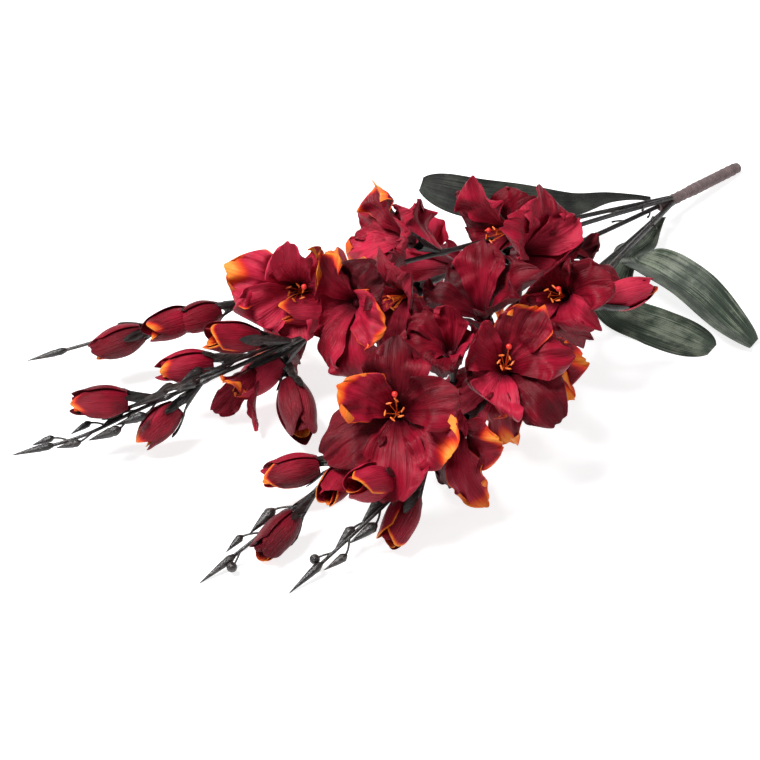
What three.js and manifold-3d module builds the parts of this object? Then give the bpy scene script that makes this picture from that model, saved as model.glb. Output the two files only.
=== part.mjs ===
// An artificial gladiolus bunch, lying on a table: five flower spikes fan out of one taped
// handle. Each spike is a dark moulded stem with small closed buds at its tip, half-open red
// buds behind them, and open ruffled blooms down to the handle. Long leaves lie among them.
//
// Millimetres, +Z up, table at z = 0. +X runs from the spikes' tips to the handle, and the
// origin is on the table under the middle of the bunch.
import * as THREE from "three";
import { mergeVertices } from "three/addons/utils/BufferGeometryUtils.js";
import Module from "manifold-3d";

const wasm = await Module();
wasm.setup();

// ---- Driving dimensions ----

const GAP = 0.35; // air kept between neighbouring pieces
const PETAL_THICK = 0.8;
const LEAF_THICK = 1.2;
const STEM_RADIUS = 1.5;
const STALK_RADIUS = 0.8; // the little stalks of the closed buds
const CALYX = { length: 30, foot: 1.2, mouth: 7 }; // the dark cup behind each flower

// The handle's ends on its axis, and its outline: radius at each distance from the back end.
const HANDLE = { back: [363, 21, 4.5], front: [243, 9.4, 19.4] };
const HANDLE_OUTLINE = [[0, 0], [4.5, 0], [5, 10], [5.1, 80], [6.6, 112], [6, 121], [0, 121]];

// The closed bud that ends a spike, how stout the others are for their length, and the seed
// ball of two spikes. Their stalks leave the stem a little behind them, at the fork.
const TIP_BUD = { length: 34, radius: 4 };
const SIDE_BUD = { stout: 0.145, tilt: 0.25, fork: 12 };
const SEED_BALL = 3.8;

// Each stem runs from inside the handle to its spike's tip through these points. The rows of
// closed buds are distance back from the tip, offset to the left or right, and length.
const SPIKES = {
  a: {
    path: [[258, 12.4, 20.7], [126, 17, 52], [-20, 42, 66], [-148, 99, 54], [-301, 173, 28]],
    closedBuds: [],
  },
  b: {
    path: [
      [258, 8.8, 22.3], [106, -3, 62], [-40, 4, 73], [-189, 31, 58], [-271, 58, 38], [-316, 75, 24],
      [-362, 98, 16],
    ],
    closedBuds: [[32, -10, 18], [51, 7, 20], [62, -9, 18], [82, 11, 27], [88, -5, 19], [103, 10, 25]],
  },
  c: {
    path: [[258, 8.1, 15.9], [131, -33, 36], [-28, -74, 54], [-182, -88, 38], [-323, -85.5, 0.1]],
    closedBuds: [[46, -11.5, 18], [57, 4, 16], [76, -11.5, 27]],
    ball: [25, 6.5],
  },
  d: {
    path: [[258, 6.1, 19.4], [120, -48, 44], [-16, -96, 56], [-157, -127, 36], [-281, -133.5, 0.1]],
    closedBuds: [[47, 9, 20], [66, -4, 24], [78, 7.5, 25], [97, -6, 27]],
    ball: [31, -6],
  },
  e: {
    path: [[258, 12, 16.7], [108, 2, 38], [-22, 23, 44], [-173, 45, 49], [-287, 44, 58]],
    closedBuds: [[40, -4, 24], [56, 4, 24], [68, -5, 26], [84, 5, 26]],
  },
};

// The kinds of open flower. Lean is a petal's angle from the flower's axis, in degrees, at
// its root and at its tip, between which it bends over the stretch FLARE of its length. The
// hood is how much less the top petal opens, and the lowest one more.
const OPEN = {
  bloom: { length: 58, width: 23, rootLean: 20, tipLean: 78, hood: 15, cup: 0.012, ruffle: 4 },
  half: { length: 46, width: 17, rootLean: 14, tipLean: 24, hood: 0, cup: 0.02, ruffle: 2.4 },
};
const FLARE = { from: 0.05, to: 0.8 };
const DROOP = 9; // how far a petal's tip hangs
const RUFFLES = 5; // waves round a petal's rim
const SWING = { size: 0.1, lean: 0.22, turn: 13 }; // how much petals differ: shares, and degrees
const PETALS = 6;
const WHORLS = [
  { core: 4.8, lean: 10, width: 0.94 }, // the outer three petals
  { core: 2.4, lean: -10, width: 1 }, // the inner three
];

// The rows of points across a petal: the share along it, and how many points.
const POINTED_ROWS = [[0, 2], [0.4, 3], [0.78, 3], [1, 1]];
const ROUNDED_ROWS = [[0, 2], [0.38, 3], [0.74, 3], [1, 3]]; // inner petals of open throats

// What a flower's petals stand on, radius and height: a low cone, or a furled middle.
const HEARTS = {
  bloom: [[0, 0], [5.6, 0], [0, 8]],
  half: [[0, 0], [5.6, 0], [6, 14], [4.5, 26], [0, 34]],
};

// How open flowers press on each other: how far off one is felt, and how far in front of the
// calyx a flower's middle lies.
const ROOM = { reach: 100, centre: 12, margin: 1, softness: 4 };

// A half-open bud: three petals furled round each other. Each column of its outline is at a
// petal's leading edge, its middle or its tucked edge: angle, share of radius, rim height.
const BUD = { length: 42, radius: 12 };
const BUD_COLUMNS = [[4, 1.1, 0.82], [62, 1, 0.95], [116, 0.92, 0.78]];

const STAMEN = { foot: 3, base: 1.9, spread: 0.9, length: 22, splay: 0.35, radius: 0.55, tip: 2 };

// Each floret: spike, kind, distance back from the spike's tip, heading and climb of its
// axis and roll round it in degrees, size, and whether its stamens show.
const FLORETS = {
  a1: ["a", "bud", 122, 162, -10, 0, 1],
  a2: ["a", "bud", 160, 178, 7, 30, 1],
  a3: ["a", "bud", 180, 175, 4, 0, 0.95],
  b1: ["b", "bud", 124, 153, 6, 0, 1],
  b2: ["b", "bud", 154, 171, -34, 40, 0.95],
  b3: ["b", "bud", 229, 160, 19, 20, 1],
  b4: ["b", "bud", 245, 159, -35, 0, 1.05],
  b5: ["b", "bud", 303, 157, 7, 40, 1.1],
  e1: ["e", "bud", 110, 157, 1, 0, 1],
  c1: ["c", "bud", 149, 152, -6, 0, 1],
  c2: ["c", "bud", 111, -171, -17, 0, 0.95],
  c3: ["c", "bud", 156, -157, 5, 50, 0.9],
  d1: ["d", "bud", 143, -157, -20, 0, 1],
  d2: ["d", "bud", 127, -173, 28, 30, 1.1],
  d3: ["d", "bud", 184, -173, 17, 0, 1.05],
  d4: ["d", "bud", 337, -41, 23, 0, 1],
  e2: ["e", "half", 141, -167, -12, 0, 0.95],
  e3: ["e", "bud", 137, -115, -19, 0, 1.2],
  a4: ["a", "bloom", 229, -137, 32, -53, 1.25, true],
  a5: ["a", "bloom", 299, -165, 10, 40, 1.03],
  a6: ["a", "bloom", 343, 158, 32, -22, 1],
  a7: ["a", "bloom", 445, -178, 18, -32, 1.19, true],
  b6: ["b", "bloom", 357, -167, 12, 37, 1.08, true],
  b7: ["b", "bloom", 312, -170, 27, -14, 1.15],
  b8: ["b", "bloom", 404, -79, 32, -19, 1.22],
  b9: ["b", "bloom", 458, -106, 6, -36, 0.97],
  c4: ["c", "bloom", 193, -138, 48, 0, 1.22, true],
  c5: ["c", "bloom", 247, -149, 78, 65, 0.97],
  c6: ["c", "bloom", 296, 178, 70, 93, 1.21],
  d5: ["d", "bloom", 205, -159, 9, 52, 0.95],
  d6: ["d", "bloom", 236, -134, 53, -11, 1.11, true],
  d7: ["d", "bloom", 270, -168, 5, -24, 0.94],
  d8: ["d", "bloom", 309, -150, 11, 64, 0.93],
  d9: ["d", "bloom", 362, -162, 35, -43, 1.12, true],
  e6: ["e", "bloom", 334, 109, -12, 0, 1.19],
  e7: ["e", "bloom", 215, 162, 6, -40, 1.17],
};

// Broad blunt leaves, each from the handle's mouth to its tip. Width is half the widest
// width, which lies at the share widest of the way. Tilt turns a leaf round its midrib, and
// fold is how steeply its two halves stand. The low leaf opens out, from the share flatFrom
// on, where it lies on the table.
const LEAF = { rows: 7, columns: 2, stalk: 0.12, blunt: 0.86 };
const LEAVES = {
  high: {
    path: [
      [242, 19, 23], [230, 25, 27], [201, 33, 35], [160, 38, 43], [118, 58, 52], [81, 85, 60], [58, 117, 67],
    ],
    width: 19,
    widest: 0.75,
    tilt: -30,
    fold: 0.2,
    flatFrom: 2,
  },
  side: {
    path: [
      [242, 3, 12], [204, -16, 11], [168, -31, 20], [160, -64, 29], [164, -100, 24], [169, -136, 11],
      [175, -160, 2],
    ],
    width: 20,
    widest: 0.6,
    tilt: 0,
    fold: 0.5,
    flatFrom: 2,
  },
  low: {
    path: [
      [242, 11, 8], [208, -6, 9], [165, -21, 11], [131, -42, 10], [124, -65, 4], [135, -92, 0], [148, -141, 0],
    ],
    width: 22,
    widest: 0.8,
    tilt: 0,
    fold: 0.2,
    flatFrom: 0.62,
  },
};

const COLOURS = {
  plastic: "#2f2a28",
  petal: "#8e1832",
  leaf: "#3a4a3a",
  tape: "#6b5652",
  stamen: "#e2501f",
};

// ---- Solids ----

const { clamp, smoothstep, degToRad: rad } = THREE.MathUtils;
const vec = (p) => new THREE.Vector3(...p);

// A repeatable number from 0 to 1 for a whole number.
function chance(k) {
  const v = Math.sin(k * 12.9898) * 43758.5453;
  return v - Math.floor(v);
}

function solidOf(geometry) {
  const bare = new THREE.BufferGeometry().setAttribute("position", geometry.getAttribute("position"));
  if (geometry.index) bare.setIndex(geometry.index);
  const merged = mergeVertices(bare, 1e-4);
  return new wasm.Manifold(
    new wasm.Mesh({
      numProp: 3,
      vertProperties: new Float32Array(merged.attributes.position.array),
      triVerts: new Uint32Array(merged.index.array),
    }),
  );
}

function geometryOf(solid) {
  const { vertProperties, triVerts } = solid.getMesh();
  return new THREE.BufferGeometry()
    .setAttribute("position", new THREE.BufferAttribute(vertProperties, 3))
    .setIndex(new THREE.BufferAttribute(triVerts, 1));
}

function indexedSolid(points, faces) {
  const positions = new THREE.Float32BufferAttribute(points.flatMap((p) => [...p]), 3);
  return solidOf(new THREE.BufferGeometry().setAttribute("position", positions).setIndex(faces));
}

// The triangles between two rows of points, which may have different numbers of points.
function strip(row, next) {
  const faces = [];
  let [i, j] = [0, 0];
  while (i < row.length - 1 || j < next.length - 1) {
    if ((i + 1) * (next.length - 1) <= (j + 1) * (row.length - 1)) faces.push(row[i], next[j], row[++i]);
    else faces.push(row[i], next[j], next[++j]);
  }
  return faces;
}

// A closed sheet of even thickness round the middle surface at(s, t), t from -1 to 1. Each
// row is [share s, number of points]. Both faces are split into the same triangles.
function sheet(at, rows, thickness) {
  const step = 0.01;
  const points = [];
  const lines = rows.map(([s, count]) =>
    Array.from({ length: count }, (_, j) => points.push([s, count > 1 ? (2 * j) / (count - 1) - 1 : 0]) - 1),
  );
  const face = (side) =>
    points.map(([s, t]) => {
      const along = at(Math.min(s + step, 1), t).sub(at(Math.max(s - step, 0), t));
      const across = at(s, t + step).sub(at(s, t - step));
      return at(s, t).addScaledVector(along.cross(across).normalize(), (side * thickness) / 2);
    });
  const under = points.length;
  const upper = lines.slice(1).flatMap((line, i) => strip(lines[i], line));
  const faces = [...upper, ...upper.toReversed().map((n) => n + under)];
  const last = lines.at(-1);
  const rim = [
    ...lines.map((line) => line[0]),
    ...last.slice(1, -1),
    ...lines.map((line) => line.at(-1)).toReversed().slice(last.length > 1 ? 0 : 1),
    ...lines[0].slice(1, -1).toReversed(),
  ];
  rim.forEach((a, k) => {
    const b = rim[(k + 1) % rim.length];
    faces.push(a, a + under, b + under, a, b + under, b);
  });
  return indexedSolid([...face(1), ...face(-1)], faces);
}

// A closed solid skinned over columns of points that run round an axis, each column from
// one shared end point to the other.
function ringed(columns) {
  const tall = columns[0].length;
  const faces = [];
  columns.forEach((_, i) => {
    const [here, next] = [i * tall, ((i + 1) % columns.length) * tall];
    for (let k = 0; k < tall - 1; k++) {
      if (k > 0) faces.push(here + k, next + k, next + k + 1);
      if (k < tall - 2) faces.push(here + k, next + k + 1, here + k + 1);
    }
  });
  return indexedSolid(columns.flat(), faces);
}

// A tube along a curve.
function tube(curve, radius, sides, steps) {
  const centre = new THREE.Vector2();
  const corner = (_, k) => new THREE.Vector2(radius, 0).rotateAround(centre, (2 * Math.PI * k) / sides);
  const section = new THREE.Shape(Array.from({ length: sides }, corner));
  return solidOf(new THREE.ExtrudeGeometry(section, { steps, extrudePath: curve }));
}

// A turned solid from [radius, height] pairs, standing at a point along a direction.
function turned(profile, sides, at, direction) {
  const points = profile.map((p) => new THREE.Vector2(...p));
  const upright = new THREE.Vector3(0, 1, 0);
  const turn = new THREE.Quaternion().setFromUnitVectors(upright, direction.clone().normalize());
  return solidOf(new THREE.LatheGeometry(points, sides).applyQuaternion(turn).translate(...at));
}

const fuse = (solids) => wasm.Manifold.union(solids);
const biggest = (solids) => solids.reduce((a, b) => (b.volume() > a.volume() ? b : a));

// ---- Stems ----

const curves = Object.fromEntries(
  Object.entries(SPIKES).map(([name, { path }]) => [name, new THREE.CatmullRomCurve3(path.map(vec))]),
);

// The point on a spike's stem at a distance back from its tip, and the way the stem grows there.
const onStem = (spike, back) => curves[spike].getPointAt(1 - back / curves[spike].getLength());
const growth = (spike, back) => curves[spike].getTangentAt(1 - back / curves[spike].getLength());

// A floret's place: where it leaves the stem, the way it faces, and its calyx's mouth.
function stance([spike, kind, back, heading, climb, roll, size, stamens], index) {
  const level = Math.cos(rad(climb));
  const axis = vec([level * Math.cos(rad(heading)), level * Math.sin(rad(heading)), Math.sin(rad(climb))]);
  const side = vec([axis.y, -axis.x, 0]).normalize();
  const top = side.clone().cross(axis);
  const root = onStem(spike, back);
  const mouth = root.clone().addScaledVector(axis, CALYX.length * size);
  const centre = mouth.clone().addScaledVector(axis, ROOM.centre * size);
  return { spike, kind, index, axis, side, top, root, mouth, centre, roll, size, stamens };
}

const florets = Object.fromEntries(Object.entries(FLORETS).map(([name, row], i) => [name, stance(row, i)]));

// The way out from a floret's axis at an angle round it, in degrees from its top.
const outFrom = ({ side, top }, angle) =>
  top.clone().multiplyScalar(Math.cos(rad(angle))).addScaledVector(side, Math.sin(rad(angle)));

function calyx({ root, axis, size }, grow) {
  const end = CALYX.length * size + grow;
  const profile = [[0, -grow], [CALYX.foot + grow, -grow], [CALYX.mouth * size + grow, end], [0, end]];
  return turned(profile, 4, root, axis);
}

// The outline of a closed bud, widest near its foot.
const bullet = (length, radius, grow) => [
  [0, -grow],
  [radius + grow, 0.22 * length - grow],
  [0.66 * radius + grow, 0.6 * length],
  [0, length + grow],
];

// A curved stalk that forks off a stem and ends beside it, its end, and the way out there.
function stalk(spike, back, offset, grow) {
  const along = growth(spike, back);
  const left = vec([-along.y, along.x, SIDE_BUD.tilt * Math.sin(back)]).normalize();
  const out = left.multiplyScalar(Math.sign(offset));
  const seat = onStem(spike, back).addScaledVector(out, Math.abs(offset));
  const elbow = onStem(spike, back + SIDE_BUD.fork / 2).addScaledVector(out, 0.8 * Math.abs(offset));
  const bow = new THREE.QuadraticBezierCurve3(onStem(spike, back + SIDE_BUD.fork), elbow, seat);
  return { rod: tube(bow, STALK_RADIUS + grow, 3, 2), seat, out };
}

// The closed buds near a spike's tip stand off the stem and lie along it.
function closedBud(spike, [back, offset, length], grow) {
  const { rod, seat, out } = stalk(spike, back, offset, grow);
  const way = growth(spike, back).addScaledVector(out, -0.12);
  const sunk = seat.clone().addScaledVector(way, -2);
  return [rod, turned(bullet(length, SIDE_BUD.stout * length, grow), 4, sunk, way)];
}

function seedBall(spike, [back, offset], grow) {
  const { rod, seat } = stalk(spike, back, offset, grow);
  return [rod, solidOf(new THREE.SphereGeometry(SEED_BALL + grow, 6, 4).translate(...seat))];
}

// A spike's stem ends inside its tip bud.
function stem(spike, grow = 0) {
  const { closedBuds, ball } = SPIKES[spike];
  const { length, radius } = TIP_BUD;
  const stick = new THREE.CatmullRomCurve3(curves[spike].getSpacedPoints(24).slice(0, -1));
  const parts = [
    tube(stick, STEM_RADIUS + grow, 4, 8),
    turned(bullet(length, radius, grow), 5, onStem(spike, length), growth(spike, length / 2)),
  ];
  for (const floret of Object.values(florets)) if (floret.spike === spike) parts.push(calyx(floret, grow));
  for (const row of closedBuds) parts.push(...closedBud(spike, row, grow));
  if (ball) parts.push(...seedBall(spike, ball, grow));
  return fuse(parts);
}

function handle(grow = 0) {
  const [back, front] = [vec(HANDLE.back), vec(HANDLE.front)];
  const profile = HANDLE_OUTLINE.map(([r, h]) => [r ? r + grow : 0, h + (h ? grow : -grow)]);
  return turned(profile, 8, back, front.sub(back));
}

// ---- Leaves ----

function leaf({ path, width, widest, tilt, fold, flatFrom }, grow = 0) {
  const curve = new THREE.CatmullRomCurve3(path.map(vec));
  const rows = Array.from({ length: LEAF.rows + 1 }, (_, i) => [i / LEAF.rows, i ? LEAF.columns + 1 : 2]);
  const at = (s, t) => {
    const along = curve.getTangentAt(s);
    const side = vec([-along.y, along.x, 0]).normalize().applyAxisAngle(along, rad(tilt));
    const over = along.clone().cross(side);
    const swell = LEAF.stalk + (1 - LEAF.stalk) * smoothstep(s, 0, widest);
    const pastWidest = Math.max(s - widest, 0) / (1 - widest);
    const reach = (width * swell * Math.sqrt(1 - LEAF.blunt * pastWidest ** 2) + grow) * t;
    const folded = fold * (1 - smoothstep(s, flatFrom - 0.2, flatFrom));
    const p = curve.getPointAt(s).addScaledVector(side, reach);
    p.addScaledVector(over, folded * Math.abs(reach));
    return p.setZ(Math.max(p.z, LEAF_THICK / 2));
  };
  return sheet(at, rows, LEAF_THICK + 2 * grow);
}

// ---- Flowers ----

// A petal leans over from its root to its tip, so its middle line is a straight, an arc and
// a straight. Gives how far out from the flower's axis and how far up along it the line has
// come at the share s, and its lean there.
function middleLine(length, rootLean, tipLean, s) {
  const start = rad(rootLean);
  const turnRate = (rad(tipLean) - start) / (FLARE.to - FLARE.from);
  const lean = start + turnRate * clamp(s - FLARE.from, 0, FLARE.to - FLARE.from);
  const before = Math.min(s, FLARE.from);
  const after = Math.max(s - FLARE.to, 0);
  const arcOut = (Math.cos(start) - Math.cos(lean)) / turnRate;
  const arcUp = (Math.sin(lean) - Math.sin(start)) / turnRate;
  return {
    lean,
    out: length * (before * Math.sin(start) + arcOut + after * Math.sin(lean)),
    up: length * (before * Math.cos(start) + arcUp + after * Math.cos(lean)),
  };
}

// A petal's half width at the share s: narrow at its root, widest two thirds along, blunt at
// its tip, and no wider than the petals' shares of the way round the flower.
function halfWidth(width, room, s) {
  const widest = 0.66;
  const swell = 0.2 + 0.8 * Math.sin((Math.PI / 2) * Math.min(s / widest, 1)) ** 1.4;
  const taper = Math.sqrt(1 - (0.82 * (Math.max(s - widest, 0) / (1 - widest))) ** 2);
  return ((width * swell * taper) ** -4 + (0.97 * room) ** -4) ** -0.25;
}

const openFlowers = Object.values(florets).filter(({ kind }) => kind in OPEN);

// Each open flower has its own room: where a neighbour presses, its petals bend back from
// the plane half way between the two.
function keepRoom(p, flower) {
  for (let pass = 0; pass < 2; pass++)
    for (const other of openFlowers) {
      const away = other.centre.clone().sub(flower.centre);
      if (other === flower || away.length() > ROOM.reach) continue;
      const share = flower.size / (flower.size + other.size);
      const plane = flower.centre.clone().lerp(other.centre, share);
      const past = p.clone().sub(plane).dot(away.normalize()) + ROOM.margin;
      p.addScaledVector(away, -ROOM.softness * Math.log1p(Math.exp(past / ROOM.softness)));
    }
  return p;
}

// Petal j of a flower. Its middle line leans out of the throat, it curls round the throat
// across, and its rim is ruffled by waves that run round it.
function petal(flower, j, grow) {
  const { kind, index, axis, mouth, roll, size, stamens } = flower;
  const { length, width, rootLean, tipLean, hood, cup, ruffle } = OPEN[kind];
  const whorl = WHORLS[j % 2];
  const draw = (c) => chance(31 * index + 7 * j + c);
  const swing = (c, most) => most * (2 * draw(c) - 1);
  const long = length * size * (1 + swing(1, SWING.size)) + grow;
  const half = width * size * whorl.width * (1 + swing(2, SWING.size)) + grow;
  const angle = roll + (360 / PETALS) * j + swing(4, SWING.turn);
  const openTo = tipLean * (1 + swing(3, SWING.lean)) + whorl.lean - hood * Math.cos(rad(angle));
  const outward = outFrom(flower, angle);
  const sideways = axis.clone().cross(outward);
  const core = whorl.core * size;
  const phase = 2 * Math.PI * draw(5);
  const at = (s, t) => {
    const { lean, out, up } = middleLine(long, rootLean, openTo, s * (1 - 0.1 * t * t * s));
    const open = smoothstep(s, 0, 0.8);
    const reach = halfWidth(half, core + out, s) * t;
    const curl = Math.max(Math.cos(lean) / (core + out) + cup * open, 0.001);
    const [dx, dy] = [(s - 0.55) / 0.45, reach / half];
    const wave = ruffle * size * (dx * dx + dy * dy) * open * Math.sin(RUFFLES * Math.atan2(dy, dx) + phase);
    const lift = wave - (1 - Math.cos(curl * reach)) / curl;
    const p = mouth
      .clone()
      .addScaledVector(axis, 1.5 + up - lift * Math.sin(lean))
      .addScaledVector(outward, core + out + lift * Math.cos(lean))
      .addScaledVector(sideways, Math.sin(curl * reach) / curl);
    p.z -= DROOP * size * s * s;
    keepRoom(p, flower);
    return p.setZ(Math.max(p.z, PETAL_THICK / 2));
  };
  return sheet(at, stamens && j % 2 ? ROUNDED_ROWS : POINTED_ROWS, PETAL_THICK + 2 * grow);
}

// A flower that has only half opened shows its outer three petals round a furled middle.
function openFlower(flower, grow = 0) {
  const { kind, axis, mouth, size } = flower;
  const heart = HEARTS[kind].map(([r, h]) => [r ? r * size + grow : 0, h ? h * size + grow : GAP - grow]);
  const showing = kind === "bloom" ? [0, 1, 2, 3, 4, 5] : [0, 2, 4];
  return fuse([turned(heart, 5, mouth, axis), ...showing.map((j) => petal(flower, j, grow))]);
}

function furledBud(flower, grow = 0) {
  const { axis, mouth, roll, size } = flower;
  const [r, h] = [BUD.radius * size, BUD.length * size];
  const columns = [0, 120, 240].flatMap((turn) =>
    BUD_COLUMNS.map(([angle, wide, rim]) => {
      const out = outFrom(flower, roll + turn + angle);
      const outline = [
        [0, GAP - grow],
        [0.62 * r + grow, GAP - grow],
        [wide * r + grow, 0.36 * h],
        [wide * r + grow, 0.64 * h],
        [0.74 * wide * r + grow, rim * h + grow],
        [0.5 * wide * r - grow, (rim - 0.1) * h + 2 * grow],
        [0.36 * r + grow, 0.8 * h],
        [0, h + grow],
      ];
      return outline.map(([radius, height]) =>
        mouth.clone().addScaledVector(axis, height).addScaledVector(out, radius),
      );
    }),
  );
  return ringed(columns);
}

// The style with its stigma and two filaments, standing on a small foot in the throat.
function stamens(flower, grow = 0) {
  const { foot, base, spread, length, splay, radius, tip } = STAMEN;
  const { axis, mouth, roll, size } = flower;
  const seat = mouth.clone().addScaledVector(axis, HEARTS.bloom.at(-1)[1] * size + 2 * GAP);
  const parts = [turned([[0, -grow], [base + grow, -grow], [base + grow, foot], [0, foot]], 3, seat, axis)];
  for (let k = 0; k < 3; k++) {
    const out = outFrom(flower, roll + 120 * k);
    const long = (k ? length : 1.2 * length) * size;
    const start = seat.clone().addScaledVector(out, spread).addScaledVector(axis, foot / 3);
    const end = start.clone().addScaledVector(axis, long).addScaledVector(out, long * splay);
    parts.push(tube(new THREE.LineCurve3(start, end), radius + grow, 3, 1));
    if (k === 0) parts.push(turned([[0, -tip - grow], [tip + grow, 0], [0, tip + grow]], 4, end, axis));
  }
  return fuse(parts);
}

// ---- The bunch ----

const bunch = new THREE.Group();
let taken = fuse([]); // the room of every piece so far, grown by the air gap

const materials = Object.fromEntries(
  Object.entries(COLOURS).map(([name, color]) => [
    name,
    new THREE.MeshStandardMaterial({ name, color, roughness: name === "plastic" ? 0.4 : 0.75, metalness: 0 }),
  ]),
);

// Adds a piece. Where it would cross those placed before it, it is cut back by the air gap,
// and only its main body is kept.
function place(name, material, build) {
  const solid = biggest(build(0).subtract(taken).decompose());
  const mesh = new THREE.Mesh(geometryOf(solid), materials[material]);
  mesh.name = name;
  bunch.add(mesh);
  taken = taken.add(build(GAP));
}

for (const spike of Object.keys(SPIKES)) place(`stem_${spike}`, "plastic", (grow) => stem(spike, grow));
place("handle", "tape", handle);
for (const [name, row] of Object.entries(LEAVES)) place(`leaf_${name}`, "leaf", (grow) => leaf(row, grow));
for (const [name, floret] of Object.entries(florets)) {
  const flower = floret.kind === "bud" ? furledBud : openFlower;
  place(`${floret.kind}_${name}`, "petal", (grow) => flower(floret, grow));
}
for (const [name, floret] of Object.entries(florets))
  if (floret.stamens) place(`stamens_${name}`, "stamen", (grow) => stamens(floret, grow));

// The origin goes to the table under the middle of the bunch.
const box = new THREE.Box3().setFromObject(bunch);
const middle = box.getCenter(new THREE.Vector3());
bunch.position.set(-middle.x, -middle.y, -box.min.z);

export default bunch;
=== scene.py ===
# %% [markdown]
# # An artificial gladiolus bunch
# Five flower spikes fan out of one taped handle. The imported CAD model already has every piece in
# its place, with few faces. Here each piece is worked out again from the same few dimensions, as
# a fine surface with its own finish, and stands in for the CAD node of its name.

import bpy
import numpy as np
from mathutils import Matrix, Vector


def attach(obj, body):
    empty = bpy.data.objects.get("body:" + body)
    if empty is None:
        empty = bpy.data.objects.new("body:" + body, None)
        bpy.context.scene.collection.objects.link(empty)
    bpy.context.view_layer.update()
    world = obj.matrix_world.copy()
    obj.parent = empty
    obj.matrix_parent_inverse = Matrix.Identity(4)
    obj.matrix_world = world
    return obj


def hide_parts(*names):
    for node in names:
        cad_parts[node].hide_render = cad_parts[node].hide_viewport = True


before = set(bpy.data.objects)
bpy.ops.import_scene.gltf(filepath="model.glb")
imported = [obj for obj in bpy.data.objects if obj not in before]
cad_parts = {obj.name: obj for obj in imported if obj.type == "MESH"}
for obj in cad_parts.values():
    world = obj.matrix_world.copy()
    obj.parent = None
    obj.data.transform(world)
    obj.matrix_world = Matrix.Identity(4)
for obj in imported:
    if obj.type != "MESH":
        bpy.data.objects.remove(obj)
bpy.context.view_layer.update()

# %% [markdown]
# ## Places and numbers
# The drawing of the bunch is in millimetres, with its zero a little off the middle, so a shift
# brings its points into the frame. Draws that look random come from a sine with a huge factor,
# whose last digits jump about but are the same on every run.

# %% Units, draws and directions
MM = 0.001
DRAWING_TO_FRAME = np.array((-0.8641, 3.5682, 0.0))


def chance(k):
    """A repeatable number from 0 to 1 for a number k: the fraction left of a large sine."""
    wild = np.sin(k * 12.9898) * 43758.5453
    return wild - np.floor(wild)


def smoothstep(x, low, high):
    """0 below low, 1 above high, and the cubic 3u^2 - 2u^3 in between."""
    u = np.clip((x - low) / (high - low), 0, 1)
    return u * u * (3 - 2 * u)


def unit(vectors):
    """Vectors scaled to length 1."""
    return vectors / np.linalg.norm(vectors, axis=-1, keepdims=True)


# %% [markdown]
# ## Curves
# A stem is bent by hand and passes through a few known points. A centripetal Catmull-Rom spline
# goes through them all without loops. It is kept as a dense line with the distance along it, so
# that a place on the stem is found by its distance, as with a tape measure.

# %% Splines by distance
def spline(knots, steps=300):
    """A smooth line through the knots: between two of them a cubic whose end slopes weigh the
    neighbouring gaps by the square root of their lengths. Gives the points and distances."""
    p = np.array(knots, float)
    p = np.vstack([2 * p[0] - p[1], p, 2 * p[-1] - p[-2]])
    gap = np.linalg.norm(np.diff(p, axis=0), axis=1, keepdims=True) ** 0.5
    x0, x1, x2, x3 = p[:-3], p[1:-2], p[2:-1], p[3:]
    d0, d1, d2 = gap[:-2], gap[1:-1], gap[2:]
    leave = d1 * ((x1 - x0) / d0 - (x2 - x0) / (d0 + d1) + (x2 - x1) / d1)
    arrive = d1 * ((x2 - x1) / d1 - (x3 - x1) / (d1 + d2) + (x3 - x2) / d2)
    u = np.linspace(0, 1, steps, endpoint=False)[:, None, None]
    cubic = 2 * x1 - 2 * x2 + leave + arrive
    square = 3 * x2 - 3 * x1 - 2 * leave - arrive
    line = ((cubic * u + square) * u + leave) * u + x1
    line = np.vstack([line.transpose(1, 0, 2).reshape(-1, 3), p[-2]])
    run = np.concatenate([[0], np.cumsum(np.linalg.norm(np.diff(line, axis=0), axis=1))])
    return line, run


def along(route, distance):
    """The points at these distances along a route."""
    line, run = route
    return np.stack([np.interp(distance, run, line[:, axis]) for axis in range(3)], axis=-1)


def heading(route, distance):
    """The directions in which a route runs at these distances."""
    return unit(along(route, np.asarray(distance) + 1) - along(route, np.asarray(distance) - 1))


def sideways(ways):
    """The level direction to the left of each way, and the one that points up from both."""
    side = unit(np.stack([-ways[..., 1], ways[..., 0], 0 * ways[..., 0]], axis=-1))
    return side, np.cross(ways, side)


# %% [markdown]
# ## Surfaces
# Every surface is a grid of points, rows by columns, so its faces follow from counting alone.
# There are two kinds. A sheet is cloth: the grid is doubled, moved half the thickness to each
# side, and joined round its rim. A pod is a solid round an axis: rings of points closed by a
# point at each end. Both are closed, with their faces outwards.

# %% Sheets and pods
def sheet(grid, thickness, uv, **marks):
    """A closed sheet from the grid of its middle surface: each point moved half the thickness
    along the surface normal (slope along a column cross slope along a row) to both sides."""
    rows, columns, _ = grid.shape
    normal = unit(np.cross(np.gradient(grid, axis=0), np.gradient(grid, axis=1)))
    faces = [grid + side * thickness / 2 * normal for side in (1, -1)]
    index = np.arange(rows * columns).reshape(rows, columns)
    upper = np.stack([index[:-1, :-1], index[1:, :-1], index[1:, 1:], index[:-1, 1:]], axis=-1)
    upper = upper.reshape(-1, 4)
    under = rows * columns
    rim = np.concatenate([index[:-1, 0], index[-1, :-1], index[:0:-1, -1], index[0, :0:-1]])
    ahead = np.roll(rim, -1)
    edge = np.stack([rim, rim + under, ahead + under, ahead], axis=-1)
    both = (2, rows, columns)
    return {
        "points": np.stack(faces).reshape(-1, 3),
        "quads": np.vstack([upper, upper[:, ::-1] + under, edge]),
        "triangles": np.zeros((0, 3), int),
        "uv": np.tile(uv.reshape(-1, 2), (2, 1)),
        "marks": {mark: np.broadcast_to(value, both).ravel() for mark, value in marks.items()},
    }


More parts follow.
